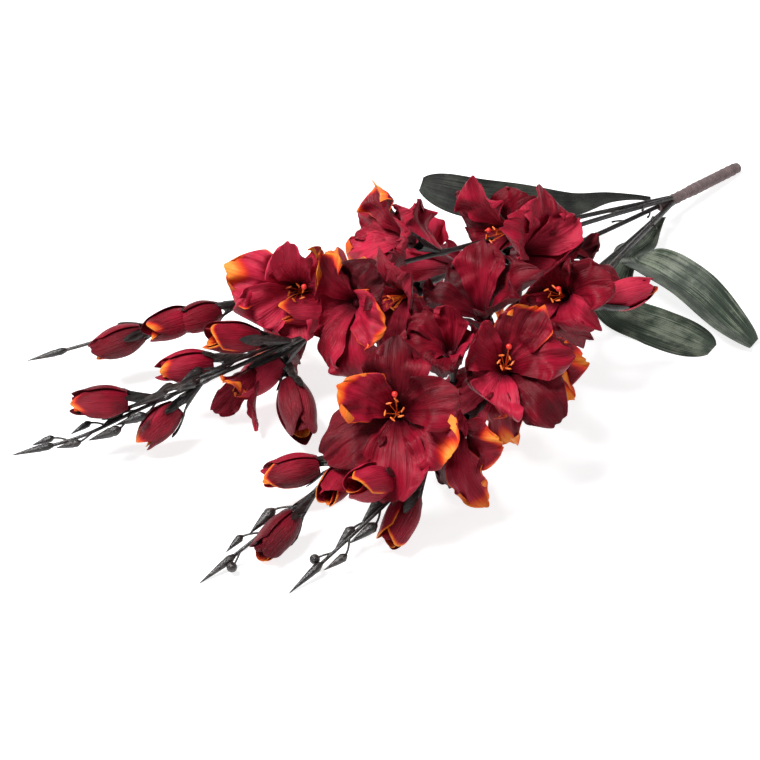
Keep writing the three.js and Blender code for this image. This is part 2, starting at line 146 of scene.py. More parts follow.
def pod(rings, first, last, **marks):
    """A closed solid from rings of points that turn anticlockwise round the way from the point
    first to the point last."""
    rows, columns, _ = rings.shape
    index = np.arange(rows * columns).reshape(rows, columns)
    ahead = np.roll(index, -1, axis=1)
    quads = np.stack([index[:-1], ahead[:-1], ahead[1:], index[1:]], axis=-1).reshape(-1, 4)
    foot = np.stack([np.full(columns, rows * columns), ahead[0], index[0]], axis=-1)
    tip = np.stack([np.full(columns, rows * columns + 1), index[-1], ahead[-1]], axis=-1)
    ends = {
        name: np.append(np.broadcast_to(value, (rows, columns)).ravel(), [np.min(value)] * 2)
        for name, value in marks.items()
    }
    return {
        "points": np.vstack([rings.reshape(-1, 3), first, last]),
        "quads": quads,
        "triangles": np.vstack([foot, tip]),
        "uv": np.zeros((rows * columns + 2, 2)),
        "marks": ends,
    }


def rod(line, radius, sides=10, **marks):
    """A solid rod of changing radius: round each point of a line a ring, square to its way."""
    way = unit(np.gradient(line, axis=0))
    side, over = sideways(way)
    turn = np.linspace(0, 2 * np.pi, sides, endpoint=False)[:, None]
    rings = side[:, None] * np.cos(turn) + over[:, None] * np.sin(turn)
    radius = np.broadcast_to(radius, len(line)) if np.ndim(radius) < 2 else radius
    wide = radius[:, None, None] if radius.ndim == 1 else radius[..., None]
    return pod(line[:, None] + wide * rings, line[0], line[-1], **marks)


# %% [markdown]
# Many parts make one object, such as the six petals of a bloom. Their arrays are joined and
# written into one mesh with foreach_set, which is fast because it copies whole arrays. Each
# object says which CAD node it stands for, which body it rides on and which finish it has.

# %% Making an object
# The angle in degrees past which an edge is shaded sharp.
SHARP = 65
made = []


def make_object(name, node, slot, parts):
    """One mesh object from parts in drawing millimetres, moved into the frame in metres, in the
    material of its slot."""
    starts = np.cumsum([0] + [len(part["points"]) for part in parts])
    points = (np.vstack([part["points"] for part in parts]) + DRAWING_TO_FRAME) * MM
    quads = np.vstack([part["quads"] + start for part, start in zip(parts, starts)])
    triangles = np.vstack([part["triangles"] + start for part, start in zip(parts, starts)])
    corners = np.concatenate([quads.ravel(), triangles.ravel()])
    begins = np.append(4 * np.arange(len(quads)), 4 * len(quads) + 3 * np.arange(len(triangles)))
    mesh = bpy.data.meshes.new(name)
    mesh.vertices.add(len(points))
    mesh.vertices.foreach_set("co", points.ravel())
    mesh.loops.add(len(corners))
    mesh.loops.foreach_set("vertex_index", corners)
    mesh.polygons.add(len(begins))
    mesh.polygons.foreach_set("loop_start", begins)
    mesh.polygons.foreach_set("use_smooth", np.ones(len(begins), bool))
    mesh.update(calc_edges=True)
    mesh.validate()
    uv = np.vstack([part["uv"] for part in parts])
    mesh.uv_layers.new(name="cloth").data.foreach_set("uv", uv[corners].ravel())
    for mark in sorted({mark for part in parts for mark in part["marks"]}):
        values = [part["marks"].get(mark, np.zeros(len(part["points"]))) for part in parts]
        layer = mesh.attributes.new(mark, "FLOAT", "POINT")
        layer.data.foreach_set("value", np.concatenate(values).astype(np.float32))
    mesh.set_sharp_from_angle(angle=np.radians(SHARP))
    mesh.materials.append(materials[slot])
    piece = bpy.data.objects.new(name, mesh)
    bpy.context.scene.collection.objects.link(piece)
    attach(piece, "root")
    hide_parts(node)
    made.append(piece)
    return piece


# %% [markdown]
# ## Materials
# A material is a short recipe: sockets joined from patterns to the shader. A small helper adds a
# node and gives its output, so a recipe reads from pattern to finish. Colours are given as on a
# paint chart, from 0 to 255, and are made linear for the shader.

# %% Recipes
def paint(red, green, blue):
    """A linear shader colour from paint-chart values, with the screen's tone curve undone."""
    share = np.array((red, green, blue)) / 255
    linear = np.where(share <= 0.04045, share / 12.92, ((share + 0.055) / 1.055) ** 2.4)
    return (*linear.tolist(), 1.0)


class Recipe:
    """A material being made: every call adds a node and gives the socket to use next."""

    def __init__(self, name, **constants):
        self.material = bpy.data.materials.new(name)
        self.material.use_nodes = True
        self.tree = self.material.node_tree
        self.shader = self.tree.nodes["Principled BSDF"]
        for socket, value in constants.items():
            self.shader.inputs[socket.replace("_", " ")].default_value = value

    def node(self, kind, inputs, output=0, **settings):
        """A node of this kind with its settings, its inputs joined or set."""
        added = self.tree.nodes.new("ShaderNode" + kind)
        for name, value in settings.items():
            setattr(added, name, value)
        for name, value in inputs.items():
            self.join(value, added.inputs[name])
        return added.outputs[output]

    def join(self, value, socket):
        """Joins a socket to another one, or sets it to a value."""
        if isinstance(value, bpy.types.NodeSocket):
            self.tree.links.new(value, socket)
        else:
            socket.default_value = value

    def mark(self, name):
        """The values that the surface carries under this name."""
        return self.node("Attribute", {}, 2, attribute_name=name)

    def noise(self, where, stretch, detail=3.0, rough=0.55):
        """Cloudy noise from 0 to 1, finer along an axis by that axis's stretch."""
        moved = self.node("Mapping", {"Vector": where, "Scale": stretch})
        inputs = {"Vector": moved, "Scale": 1.0, "Detail": detail, "Roughness": rough}
        return self.node("TexNoise", inputs)

    def ramp(self, value, *stops):
        """A colour read off a scale of (place, colour) stops."""
        colour = self.node("ValToRGB", {"Fac": value})
        scale = colour.node.color_ramp
        while len(scale.elements) < len(stops):
            scale.elements.new(1.0)
        for element, (place, stop) in zip(scale.elements, stops):
            element.position = place
            element.color = stop
        return colour

    def mix(self, share, a, b):
        """Colour a where share is 0 and b where it is 1."""
        return self.node("Mix", {0: share, 6: a, 7: b}, 2, data_type="RGBA")

    def maths(self, operation, a, b=0.0, clamp=False):
        """One sum on two values."""
        return self.node("Math", {0: a, 1: b}, operation=operation, use_clamp=clamp)

    def finish(self, colour, roughness, height, depth):
        """Joins colour, roughness and a bump of this depth in metres to the shader."""
        bump = self.node("Bump", {"Height": height, "Strength": 1.0, "Distance": depth})
        self.join(colour, self.shader.inputs["Base Color"])
        self.join(roughness, self.shader.inputs["Roughness"])
        self.join(bump, self.shader.inputs["Normal"])
        return self.material


# %% [markdown]
# The petals are dyed polyester cloth, pressed between warm dies that leave fine creases from the
# throat to the rim. The dye is a deep crimson, cloudy and uneven, and the valleys of the creases
# are painted darker as painted shade; some petals have rims dipped in orange. The mark "orange"
# says how strongly, "deep" paints shade into the throat, and "tone" makes a petal lighter or
# darker: partly at random, partly as painted light and shade.

# %% Petal cloth
def petal_cloth():
    r = Recipe("petal_cloth", Sheen_Weight=0.07, Sheen_Roughness=0.3, Specular_IOR_Level=0.17)
    r.shader.inputs["Sheen Tint"].default_value = paint(255, 120, 150)
    where = r.node("UVMap", {}, uv_map="cloth")
    place = r.node("TexCoord", {}, 3)
    creases = r.noise(where, (22.0, 1.6, 1.0), 4.0, 0.5)
    clouds = r.noise(place, (30.0, 30.0, 30.0), 3.0)
    grain = r.noise(place, (2600.0, 2600.0, 2600.0), 2.0)
    fibres = r.noise(where, (70.0, 5.0, 1.0), 3.0, 0.6)
    # Painted shade: where the creases sink the colour is darker, beside the cloudy unevenness of
    # the dye.
    shade = r.maths("ADD", r.maths("MULTIPLY", creases, 0.3), r.maths("MULTIPLY", clouds, 0.7))
    # The tone mark is random unevenness plus painted shade for outer petals and painted light and
    # shade for whole flowers.
    shade = r.maths("ADD", shade, r.maths("MULTIPLY", r.mark("tone"), 0.14))
    crimson = r.ramp(
        shade,
        (0.20, paint(60, 2, 11)),
        (0.42, paint(106, 6, 24)),
        (0.58, paint(143, 14, 39)),
        (0.80, paint(192, 40, 68)),
    )
    # Painted shade in the throat: the deep mark turns the cloth near black towards the root.
    throat = r.maths("MULTIPLY", r.mark("deep"), 0.9, clamp=True)
    cloth = r.mix(throat, crimson, paint(54, 1, 11))
    streaks = r.maths("ADD", r.maths("MULTIPLY", creases, 0.9), 0.55)
    licks = r.maths("MULTIPLY", r.mark("orange"), streaks)
    flame = r.ramp(
        licks,
        (0.10, paint(176, 22, 40)),
        (0.40, paint(206, 52, 30)),
        (0.70, paint(228, 96, 34)),
        (1.00, paint(240, 142, 52)),
    )
    dipped = r.maths("MULTIPLY", r.maths("SUBTRACT", licks, 0.04), 2.6, clamp=True)
    colour = r.mix(dipped, cloth, flame)
    roughness = r.maths("ADD", r.maths("MULTIPLY", creases, 0.2), 0.32)
    height = r.maths("ADD", creases, r.maths("MULTIPLY", fibres, 0.45))
    height = r.maths("ADD", height, r.maths("MULTIPLY", grain, 0.1))
    return r.finish(colour, roughness, height, 0.0013)


# %% [markdown]
# Stems, calyces and closed buds are one dark plastic, moulded with shallow grooves along the
# stem. What stands proud is lighter: partly a dusty bloom, partly a painted highlight on the
# ridges. The grooves are noise that is stretched out along the bunch, which lies along X.

# %% Stem plastic
def stem_plastic():
    r = Recipe("stem_plastic", Specular_IOR_Level=0.6)
    place = r.node("TexCoord", {}, 3)
    grooves = r.noise(place, (90.0, 700.0, 700.0), 4.0, 0.6)
    clouds = r.noise(place, (60.0, 60.0, 60.0), 3.0)
    shade = r.maths("ADD", r.maths("MULTIPLY", grooves, 0.6), r.maths("MULTIPLY", clouds, 0.4))
    # Lighter where the grooves stand proud: dust and a painted highlight on the ridges.
    colour = r.ramp(
        shade,
        (0.38, paint(14, 12, 12)),
        (0.53, paint(32, 27, 26)),
        (0.65, paint(70, 61, 58)),
        (0.78, paint(142, 130, 124)),
    )
    roughness = r.maths("ADD", r.maths("MULTIPLY", grooves, 0.3), 0.17)
    return r.finish(colour, roughness, grooves, 0.0008)


# %% [markdown]
# The handle is wound with crepe floral tape, brown-mauve and matt, with small puckers across
# it. The leaves are printed cloth, grey-green, whitish in streaks that run along them: partly a
# thin dusty film, partly a painted sheen. The mark for dust and sheen says how much of that
# whitish film a leaf has, and "dark" its dye.

# %% Tape and leaf cloth
def crepe_tape():
    r = Recipe("crepe_tape", Specular_IOR_Level=0.25, Sheen_Weight=0.2)
    place = r.node("TexCoord", {}, 3)
    puckers = r.noise(place, (1500.0, 300.0, 300.0), 4.0, 0.65)
    clouds = r.noise(place, (120.0, 120.0, 120.0), 3.0)
    shade = r.maths("ADD", r.maths("MULTIPLY", puckers, 0.6), r.maths("MULTIPLY", clouds, 0.4))
    colour = r.ramp(
        shade, (0.32, paint(66, 50, 50)), (0.52, paint(104, 84, 84)), (0.72, paint(148, 126, 124))
    )
    roughness = r.maths("ADD", r.maths("MULTIPLY", puckers, 0.15), 0.66)
    return r.finish(colour, roughness, puckers, 0.0006)


def leaf_cloth():
    r = Recipe("leaf_cloth", Specular_IOR_Level=0.3, Sheen_Weight=0.08, Sheen_Roughness=0.5)
    where = r.node("UVMap", {}, uv_map="cloth")
    place = r.node("TexCoord", {}, 3)
    veins = r.noise(where, (60.0, 3.0, 1.0), 4.0, 0.6)
    clouds = r.noise(place, (40.0, 40.0, 40.0), 4.0, 0.6)
    grain = r.noise(place, (1500.0, 1500.0, 1500.0), 3.0)
    dye = r.ramp(
        veins, (0.3, paint(22, 30, 23)), (0.5, paint(40, 51, 40)), (0.72, paint(78, 92, 74))
    )
    dyed = r.mix(r.mark("dark"), dye, paint(9, 10, 9))
    # The whitish film: partly dust, partly painted sheen.
    streaks = r.maths("SUBTRACT", r.maths("ADD", veins, clouds), 0.95)
    film = r.maths("MULTIPLY", streaks, 4.5, clamp=True)
    film = r.maths("MULTIPLY", film, r.maths("MULTIPLY", r.mark("dust"), grain), clamp=True)
    colour = r.mix(film, dyed, paint(150, 156, 138))
    roughness = r.maths("ADD", r.maths("MULTIPLY", grain, 0.2), 0.38)
    height = r.maths("ADD", r.maths("MULTIPLY", veins, 1.2), r.maths("MULTIPLY", grain, 0.35))
    return r.finish(colour, roughness, height, 0.0004)


# %% [markdown]
# Stamens are moulded in one bright plastic, red at the round stigma and orange on the threads.

# %% Stamen plastic
def stamen_plastic():
    r = Recipe("stamen_plastic", Specular_IOR_Level=0.5, Subsurface_Weight=0.1)
    r.shader.inputs["Subsurface Scale"].default_value = 0.001
    place = r.node("TexCoord", {}, 3)
    clouds = r.noise(place, (500.0, 500.0, 500.0), 3.0)
    orange = r.ramp(clouds, (0.35, paint(214, 74, 24)), (0.65, paint(240, 128, 40)))
    colour = r.mix(r.mark("stigma"), orange, paint(224, 44, 34))
    roughness = r.maths("ADD", r.maths("MULTIPLY", clouds, 0.2), 0.3)
    return r.finish(colour, roughness, clouds, 0.0002)


materials = {
    "petal_fabric": petal_cloth(),
    "stem_plastic": stem_plastic(),
    "handle_tape": crepe_tape(),
    "leaf_fabric": leaf_cloth(),
    "stamen_plastic": stamen_plastic(),
}
print("materials:", ", ".join(sorted(m.name for m in materials.values())))

# %% [markdown]
# ## The spikes
# Each spike is a curve from inside the handle to its tip. Along it sit its florets, each at a
# distance back from the tip, with the heading and climb of its axis and the roll round it. All
# other places follow from these: the calyx, its mouth and the middle of the flower.

# %% Spikes and florets
SPIKES = {
    "a": [[258, 12.4, 20.7], [126, 17, 52], [-20, 42, 66], [-148, 99, 54], [-301, 173, 28]],
    "b": [
        [258, 8.8, 22.3], [106, -3, 62], [-40, 4, 73], [-189, 31, 58], [-271, 58, 38],
        [-316, 75, 24], [-362, 98, 16],
    ],
    "c": [[258, 8.1, 15.9], [131, -33, 36], [-28, -74, 54], [-182, -88, 38], [-323, -85.5, 0.1]],
    "d": [[258, 6.1, 19.4], [120, -48, 44], [-16, -96, 56], [-157, -127, 36], [-281, -133.5, 0.1]],
    "e": [[258, 12, 16.7], [108, 2, 38], [-22, 23, 44], [-173, 45, 49], [-287, 44, 58]],
}

# Distance back from the spike's tip, offset to the left or right, and length.
CLOSED_BUDS = {
    "a": [],
    "b": [(32, -10, 18), (51, 7, 20), (62, -9, 18), (82, 11, 27), (88, -5, 19), (103, 10, 25)],
    "c": [(46, -11.5, 18), (57, 4, 16), (76, -11.5, 27)],
    "d": [(47, 9, 20), (66, -4, 24), (78, 7.5, 25), (97, -6, 27)],
    "e": [(40, -4, 24), (56, 4, 24), (68, -5, 26), (84, 5, 26)],
}
SEED_BALLS = {"c": (25, 6.5), "d": (31, -6)}
# Bare stalks near the handle, by distance back and offset.
BARE_STALKS = {
    "a": [(528, 7)],
    "b": [(560, -9), (592, 8)],
    "c": [],
    "d": [(505, 8)],
    "e": [(480, -8), (512, 7)],
}
CALYX = {"length": 30, "foot": 1.2, "mouth": 7}
CENTRE = 12

# Spike, kind, distance back from the tip, heading, climb, roll, size, and the petals' orange:
# for each petal a letter, t for an orange tip, r for an orange rim, b for both.
FLORETS = {
    "a1": ("a", "bud", 122, 162, -10, 0, 1, ".t."),
    "a2": ("a", "bud", 160, 178, 7, 30, 1, "..t"),
    "a3": ("a", "bud", 180, 175, 4, 0, 0.95, "..."),
    "b1": ("b", "bud", 124, 153, 6, 0, 1, "..t"),
    "b2": ("b", "bud", 154, 171, -34, 40, 0.95, "..t"),
    "b3": ("b", "bud", 229, 160, 19, 20, 1, ".rr"),
    "b4": ("b", "bud", 245, 159, -35, 0, 1.05, "..t"),
    "b5": ("b", "bud", 303, 157, 7, 40, 1.1, "rtt"),
    "e1": ("e", "bud", 110, 157, 1, 0, 1, "..t"),
    "c1": ("c", "bud", 149, 152, -6, 0, 1, "..r"),
    "c2": ("c", "bud", 111, -171, -17, 0, 0.95, ".r."),
    "c3": ("c", "bud", 156, -157, 5, 50, 0.9, "rr."),
    "d1": ("d", "bud", 143, -157, -20, 0, 1, "r.r"),
    "d2": ("d", "bud", 127, -173, 28, 30, 1.1, "..r"),
    "d3": ("d", "bud", 184, -173, 17, 0, 1.05, ".r."),
    "d4": ("d", "bud", 337, -41, 23, 0, 1, "..."),
    "e2": ("e", "half", 141, -167, -12, 0, 0.95, "r....."),
    "e3": ("e", "bud", 137, -115, -19, 0, 1.2, "..."),
    "a4": ("a", "bloom", 229, -137, 32, -53, 1.25, "b.b..."),
    "a5": ("a", "bloom", 299, -165, 10, 40, 1.03, "r....."),
    "a6": ("a", "bloom", 343, 158, 32, -22, 1, ".b.r.."),
    "a7": ("a", "bloom", 445, -178, 18, -32, 1.19, "....t."),
    "b6": ("b", "bloom", 357, -167, 12, 37, 1.08, "....r."),
    "b7": ("b", "bloom", 312, -170, 27, -14, 1.15, ".t...r"),
    "b8": ("b", "bloom", 404, -79, 32, -19, 1.22, "......"),
    "b9": ("b", "bloom", 458, -106, 6, -36, 0.97, "......"),
    "c4": ("c", "bloom", 193, -138, 48, 0, 1.22, ".r..t."),
    "c5": ("c", "bloom", 247, -149, 78, 65, 0.97, "......"),
    "c6": ("c", "bloom", 296, 178, 70, 93, 1.21, "......"),
    "d5": ("d", "bloom", 205, -159, 9, 52, 0.95, "...rt."),
    "d6": ("d", "bloom", 236, -134, 53, -11, 1.11, "r....."),
    "d7": ("d", "bloom", 270, -168, 5, -24, 0.94, "...rbr"),
    "d8": ("d", "bloom", 309, -150, 11, 64, 0.93, "...tt."),
    "d9": ("d", "bloom", 362, -162, 35, -43, 1.12, "..tr.."),
    "e6": ("e", "bloom", 334, 109, -12, 0, 1.19, "......"),
    "e7": ("e", "bloom", 215, 162, 6, -40, 1.17, "...t.."),
}
WITH_STAMENS = ("a4", "a7", "b6", "c4", "d6", "d9")

routes = {name: spline(knots) for name, knots in SPIKES.items()}


def back_on(spike, back):
    """The point on a spike at a distance back from its tip."""
    return along(routes[spike], routes[spike][1][-1] - back)


def growth(spike, back):
    """The direction in which a spike grows at a distance back from its tip."""
    return heading(routes[spike], routes[spike][1][-1] - back)


def stance(index, name):
    """A floret's place: its axis from heading and climb, the side and top square to it, where
    it leaves the stem, its calyx's mouth and its flower's middle."""
    spike, kind, back, bearing, climb, roll, size, flames = FLORETS[name]
    bearing, climb = np.radians(bearing), np.radians(climb)
    level = np.cos(climb)
    axis = np.array((level * np.cos(bearing), level * np.sin(bearing), np.sin(climb)))
    side = unit(np.array((axis[1], -axis[0], 0)))
    root = back_on(spike, back)
    mouth = root + axis * CALYX["length"] * size
    return {
        "name": name, "index": index, "spike": spike, "kind": kind, "back": back, "roll": roll,
        "size": size, "flames": flames, "axis": axis, "side": side, "top": np.cross(side, axis),
        "root": root, "mouth": mouth, "centre": mouth + axis * CENTRE * size,
    }


florets = {name: stance(index, name) for index, name in enumerate(FLORETS)}
open_flowers = [flower for flower in florets.values() if flower["kind"] != "bud"]


def out_from(flower, angle):
    """The ways out from a floret's axis at angles round it, in degrees from its top."""
    turn = np.radians(np.asarray(angle, float))[..., None]
    return np.cos(turn) * flower["top"] + np.sin(turn) * flower["side"]


def round_axis(flower, angle, radius, height):
    """Points round a floret's axis by angle in degrees, radius, and height over its mouth."""
    radius, height = np.asarray(radius)[..., None], np.asarray(height)[..., None]
    return flower["mouth"] + flower["axis"] * height + out_from(flower, angle) * radius


print("florets:", len(florets), "of which open:", len(open_flowers))

# %% [markdown]
# ## Petals
# A petal's middle line leans slowly out of the throat and then bends over. Across, the petal
# curls round the throat, and its rim ripples, because pressed cloth has more rim than its middle
# has room for. On that form lie pleats that run from root to rim, a finer frill near the rim
# and a tip that curls back a little, each with its own draws, so that no two petals are alike.
# The outer three petals of a bloom are painted a little darker than the inner three: this is
# painted shade.

# %% The form of a petal
OPEN = {
    "bloom": {
        "length": 58, "width": 23, "root": 20, "tip": 78, "hood": 15, "cup": 0.012, "ruffle": 6,
    },
    "half": {
        "length": 46, "width": 17, "root": 14, "tip": 24, "hood": 0, "cup": 0.02, "ruffle": 2.4,
    },
}
# The whorls' tone is painted shade: the outer petals darker, the inner ones lighter.
WHORLS = (
    {"core": 4.8, "lean": 10, "width": 0.94, "tone": -0.6},
    {"core": 2.4, "lean": -10, "width": 1, "tone": 0.4},
)
FLARE = (0.05, 0.8)
# How much lighter, or darker where negative, a flower is painted than the others: painted light
# and shade for a flower that stands in more or less light.
LIGHT_AND_SHADE_BY_FLOWER = {
    "a1": -0.8, "a4": 2, "b1": -0.6, "b3": -0.8, "b4": 2, "b6": 0.5, "b8": 1.2, "c2": -1.2,
    "c3": -0.8, "c4": -0.4, "c6": -1.6, "d2": 1.6, "d4": 1.4, "d7": 1.6, "e2": 0.8, "e3": -1.6,
    "e6": 1.6,
}
DROOP = 9
RUFFLES = 5
SWING = {"size": 0.1, "lean": 0.22, "turn": 13}
ROOM = {"reach": 100, "margin": 1, "softness": 4}
CLOTH = 0.4
FLOOR_GAP = 0.4
WIDEST = 0.68
BLUNT = 0.78
PETAL_GRID = (37, 45)
RISE = 1.5
# Waves across the petal or round its rim, and how far they move it.
NOTCHES = {"wide": (4, 0.03), "fine": (11, 0.012)}
FRILLS = ((8, 2.6), (13, 1.3), (21, 0.35))
PLEATS = {"deep": (5.5, 1.5), "fine": (19, 0.3)}
ROUNDED = {"sides": 0.1, "corners": 0.17}
CALM = {"share": 0.6, "from": 0.72}
BACK_CURL = {"most": 7, "least": -4, "from": 0.62, "to": 1.1, "sides": 0.4}
TWIST = 9
# Where along or across the petal the orange dip and the throat's painted shade begin and end.
DIP = {"tip": (0.7, 1.06), "rim": (0.92, 1.03), "rim_root": (0.35, 0.7), "uneven": 0.12}
THROAT_SHADE = (0.02, 0.38)


def middle_line(length, root_lean, tip_lean, s):
    """How far out and up a petal's middle line has come at the share s of its length: a
    straight at the root's lean, an arc to the tip's lean over the flare, and a straight."""
    start = np.radians(root_lean)
    rate = (np.radians(tip_lean) - start) / (FLARE[1] - FLARE[0])
    lean = start + rate * np.clip(s - FLARE[0], 0, FLARE[1] - FLARE[0])
    before, after = np.minimum(s, FLARE[0]), np.maximum(s - FLARE[1], 0)
    out = before * np.sin(start) + (np.cos(start) - np.cos(lean)) / rate + after * np.sin(lean)
    up = before * np.cos(start) + (np.sin(lean) - np.sin(start)) / rate + after * np.cos(lean)
    return lean, length * out, length * up


def half_width(width, room, s):
    """Half of a petal's width at the share s: it swells by a sine up to the widest place, ends
    in a blunt tip, and blends with the room round the throat by a fourth-power mean."""
    swell = 0.2 + 0.8 * np.sin(np.pi / 2 * np.minimum(s / WIDEST, 1)) ** 1.4
    past = np.maximum(s - WIDEST, 0) / (1 - WIDEST)
    taper = np.sqrt(1 - BLUNT * past**3)
    return ((width * swell * taper + 0.3) ** -4 + (0.97 * room) ** -4) ** -0.25


def keep_room(points, flower):
    """Bends points back from the plane half way to each near open flower, softly: the way
    back is softness times the log of 1 + e^(distance past the plane / softness)."""
    for _ in range(2):
        for other in open_flowers:
            away = other["centre"] - flower["centre"]
            if other is flower or np.linalg.norm(away) > ROOM["reach"]:
                continue
            share = flower["size"] / (flower["size"] + other["size"])
            plane = flower["centre"] + away * share
            past = (points - plane) @ unit(away) + ROOM["margin"]
            bend = np.logaddexp(0, past / ROOM["softness"])[..., None]
            points = points - unit(away) * ROOM["softness"] * bend
    return points


def petal(flower, j):
    """Petal j of an open flower, as a sheet with its dye marks and its painted shade. The share s
    runs along it and t across it. The lift off its middle surface is a wave and a frill by the
    angle round the rim, pleats by t, a back curl by s and a twist by s times t, less the arc in
    which it cups."""
    kind, size = OPEN[flower["kind"]], flower["size"]
    whorl = WHORLS[j % 2]

    def draw(c):
        return chance(31 * flower["index"] + 7 * j + c)

    def swing(c, what):
        return SWING[what] * (2 * draw(c) - 1)

    long = kind["length"] * size * (1 + swing(1, "size"))
    half = kind["width"] * size * whorl["width"] * (1 + swing(2, "size"))
    angle = flower["roll"] + 60 * j + swing(4, "turn")
    hood = kind["hood"] * np.cos(np.radians(angle))
    open_to = kind["tip"] * (1 + swing(3, "lean")) + whorl["lean"] - hood
    outward = out_from(flower, angle)
    across = np.cross(flower["axis"], outward)
    core = whorl["core"] * size
    s = (1 - (1 - np.linspace(0, 1, PETAL_GRID[0])) ** 1.25)[:, None]
    t = np.sin(np.pi / 2 * np.linspace(-1, 1, PETAL_GRID[1]) * 0.8)[None] / np.sin(0.4 * np.pi)
    (wide_waves, wide_cut), (fine_waves, fine_cut) = NOTCHES["wide"], NOTCHES["fine"]
    cut = wide_cut * np.sin(wide_waves * t + 20 * draw(6))
    notch = 1 + (cut + fine_cut * np.sin(fine_waves * t + 9 * draw(14))) * s**3
    rounded = 1 - ROUNDED["sides"] * t * t * s - ROUNDED["corners"] * t**4 * s**4
    lean, out, up = middle_line(long, kind["root"], open_to, s * rounded * notch)
    opened = smoothstep(s, 0, 0.8)
    reach = half_width(half, core + out, s) * t
    curl = np.maximum(np.cos(lean) / (core + out) + kind["cup"] * opened, 0.001)
    dx, dy = (s - 0.55) / 0.45, reach / half
    spread = dx * dx + dy * dy
    round_rim = np.arctan2(dy, dx)
    wave = kind["ruffle"] * spread * np.sin(RUFFLES * round_rim + 2 * np.pi * draw(5))
    calm = 1 - CALM["share"] * smoothstep(s, CALM["from"], 1.0)
    frill = spread**1.5 * sum(
        amount * np.sin(waves * round_rim + 2 * np.pi * draw(7 + waves))
        for waves, amount in FRILLS
    )
    (deep_pleats, depth), (fine_pleats, fine_depth) = PLEATS["deep"], PLEATS["fine"]
    pleats = depth * np.abs(np.sin(deep_pleats * t + 6 * draw(8) + s))
    pleats = pleats + fine_depth * np.sin(fine_pleats * t + 6 * draw(9)) * s
    least, most = BACK_CURL["least"], BACK_CURL["most"]
    back_curl = ((most - least) * draw(10) + least) * (1 + BACK_CURL["sides"] * t * t)
    back_curl = back_curl * smoothstep(s, BACK_CURL["from"], BACK_CURL["to"])
    twist = TWIST * (draw(15) - 0.5) * t * s
    lift = size * opened * (calm * (wave + frill) + pleats + back_curl + twist)
    lift = lift - (1 - np.cos(curl * reach)) / curl
    points = (
        flower["mouth"]
        + flower["axis"] * (RISE + up - lift * np.sin(lean))[..., None]
        + outward * (core + out + lift * np.cos(lean))[..., None]
        + across * (np.sin(curl * reach) / curl)[..., None]
    )
    points[..., 2] -= DROOP * size * s * s
    points = keep_room(points, flower)
    points[..., 2] = np.maximum(points[..., 2], FLOOR_GAP)
    letter = flower["flames"][j]
    uneven = DIP["uneven"] * np.sin(5 * t + 9 * draw(11))
    to_rim = np.maximum(np.abs(t), smoothstep(s, 0, 1))
    tip = smoothstep(s + uneven, *DIP["tip"]) if letter in "tb" else 0
    rim = smoothstep(to_rim, *DIP["rim"]) if letter in "rb" else 0
    orange = np.maximum(tip * np.ones_like(t), rim * smoothstep(s, *DIP["rim_root"]))
    uv = np.stack(np.broadcast_arrays(0.5 + 0.5 * t + draw(12) * 9, s), axis=-1)
    # Painted shade: the throat darkens towards the root.
    deep = 1 - smoothstep(s, *THROAT_SHADE)
    # Random tone, plus painted shade for the outer whorl and painted light and shade for the
    # flower.
    tone = 2 * draw(13) - 1 + whorl["tone"] + LIGHT_AND_SHADE_BY_FLOWER.get(flower["name"], 0)
    return sheet(points, CLOTH, uv, orange=orange, deep=deep, tone=tone)


# %% [markdown]
# ## Furled buds
# A half-open bud is three petals wound round each other, each tucked under the next, and two
# smaller ones rolled up inside. Every petal is a sheet on a barrel: its radius shrinks from the
# free edge to the tucked one, so the layers lie on each other like the pages of a rolled paper.
# Some buds stand open a little further than the others, which leaves a round mouth.

# %% The form of a furled bud
BUD = {"length": 42, "radius": 12}
HALF_HEART = {"length": 34, "radius": 6}
FURL_GRID = (24, 27)
# How far a bud closes towards its tip, as a share of its radius.
CLOSED = 0.6
CLOSING = {
    "a2": 0.46, "b3": 0.34, "c2": 0.4, "c3": 0.5, "d1": 0.38, "d2": 0.8, "d3": 0.5, "d4": 0.7,
}
# The layers: petals, turn of the first one's free edge, angle they wind over, share of the
# radius at the free edge and at the tucked one, height of the rim, and how much less they close.
OUTER_FURL = {"petals": 3, "turn": -4, "span": 152, "wide": (1.1, 0.86), "rim": 1.04, "slack": 0}
INNER_FURL = {"petals": 2, "turn": 70, "span": 235, "wide": (0.74, 0.5), "rim": 1.0, "slack": 0.06}
INNER_FLAMES = "t."
SHOULDER = 0.42
GLOW = {"tip": (0.8, 1.04), "middle": (0.3, 0.9), "rim": (0.9, 1.0), "rim_root": (0.5, 0.8)}


def barrel(y, close):
    """The share of the widest radius at the share y of the height: it swells by a sine from a
    narrow foot to the shoulder, and closes again towards the tip by a power."""
    swell = 0.58 + 0.42 * np.sin(np.pi / 2 * np.minimum(y / SHOULDER, 1))
    return swell - close * (np.maximum(y - SHOULDER, 0) / (1 - SHOULDER)) ** 2.1


